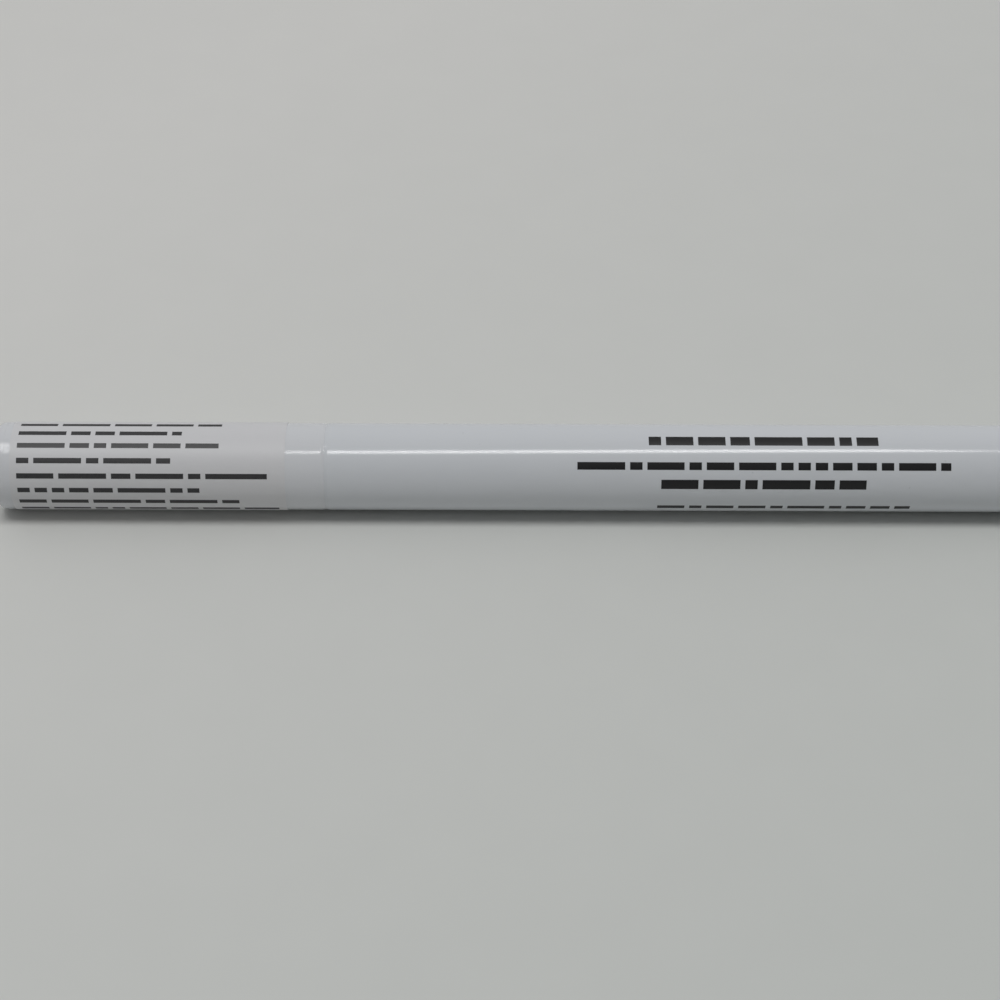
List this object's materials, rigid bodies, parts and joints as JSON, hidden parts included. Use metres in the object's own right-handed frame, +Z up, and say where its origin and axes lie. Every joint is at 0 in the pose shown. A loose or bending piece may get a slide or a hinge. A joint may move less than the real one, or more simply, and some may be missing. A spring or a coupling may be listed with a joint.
{
  "type": "liquid eyeliner bottle",
  "caption": "Slim white liquid eyeliner pen on its side, with a pull-off cap, sprung inner cap, felt nib, finned collector, wick and a tank with loose mixing balls.",
  "frame": {"origin": "on the surface that the pen lies on, under the middle of its length", "axes": "+X along the pen from the closed end of the cap to the tail, +Y away from the viewer, +Z up"},
  "size_m": [0.137, 0.0102, 0.0101],
  "materials": {
    "white_gloss": "polished moulded plastic",
    "white_film": "matte printed film",
    "milky_plastic": "satin natural plastic",
    "black_gloss": "polished moulded plastic",
    "spring_steel": "drawn wire",
    "ball_steel": "polished steel",
    "nib_felt": "felt soaked with black liquid",
    "wick_fibre": "bonded fibre soaked with black liquid"
  },
  "bodies": {
    "pen": {"barrel": "white_gloss", "tail_plug": "white_gloss", "front_section": "black_gloss", "nib": "nib_felt", "nib_sleeve": "black_gloss", "feed_wick": "wick_fibre", "collector": "milky_plastic", "tank_bung": "milky_plastic"},
    "cap": {"cap_shell": "white_gloss", "cap_end_plug": "white_gloss", "cap_spring": "spring_steel", "wrap_label": "white_film"},
    "sealing_cap": {"inner_cap": "milky_plastic"},
    "front_ball": {"mixing_ball_front": "ball_steel"},
    "rear_ball": {"mixing_ball_rear": "ball_steel"}
  },
  "joints": [
    {"name": "cap_pull", "type": "slide", "parent": "pen", "child": "cap", "axis": [-1, 0, 0], "range_m": [0, 0.04]},
    {"name": "inner_cap_press", "type": "slide", "parent": "cap", "child": "sealing_cap", "axis": [-1, 0, 0], "range_m": [0, 0.0012], "stiffness_N_per_m": 100, "springref_m": -0.003, "deforming": ["cap_spring"]},
    {"name": "front_ball_roll", "type": "slide", "parent": "pen", "child": "front_ball", "axis": [1, 0, 0], "range_m": [-0.0172, 0.0412]},
    {"name": "rear_ball_roll", "type": "slide", "parent": "front_ball", "child": "rear_ball", "axis": [1, 0, 0], "range_m": [0, 0.012]}
  ]
}
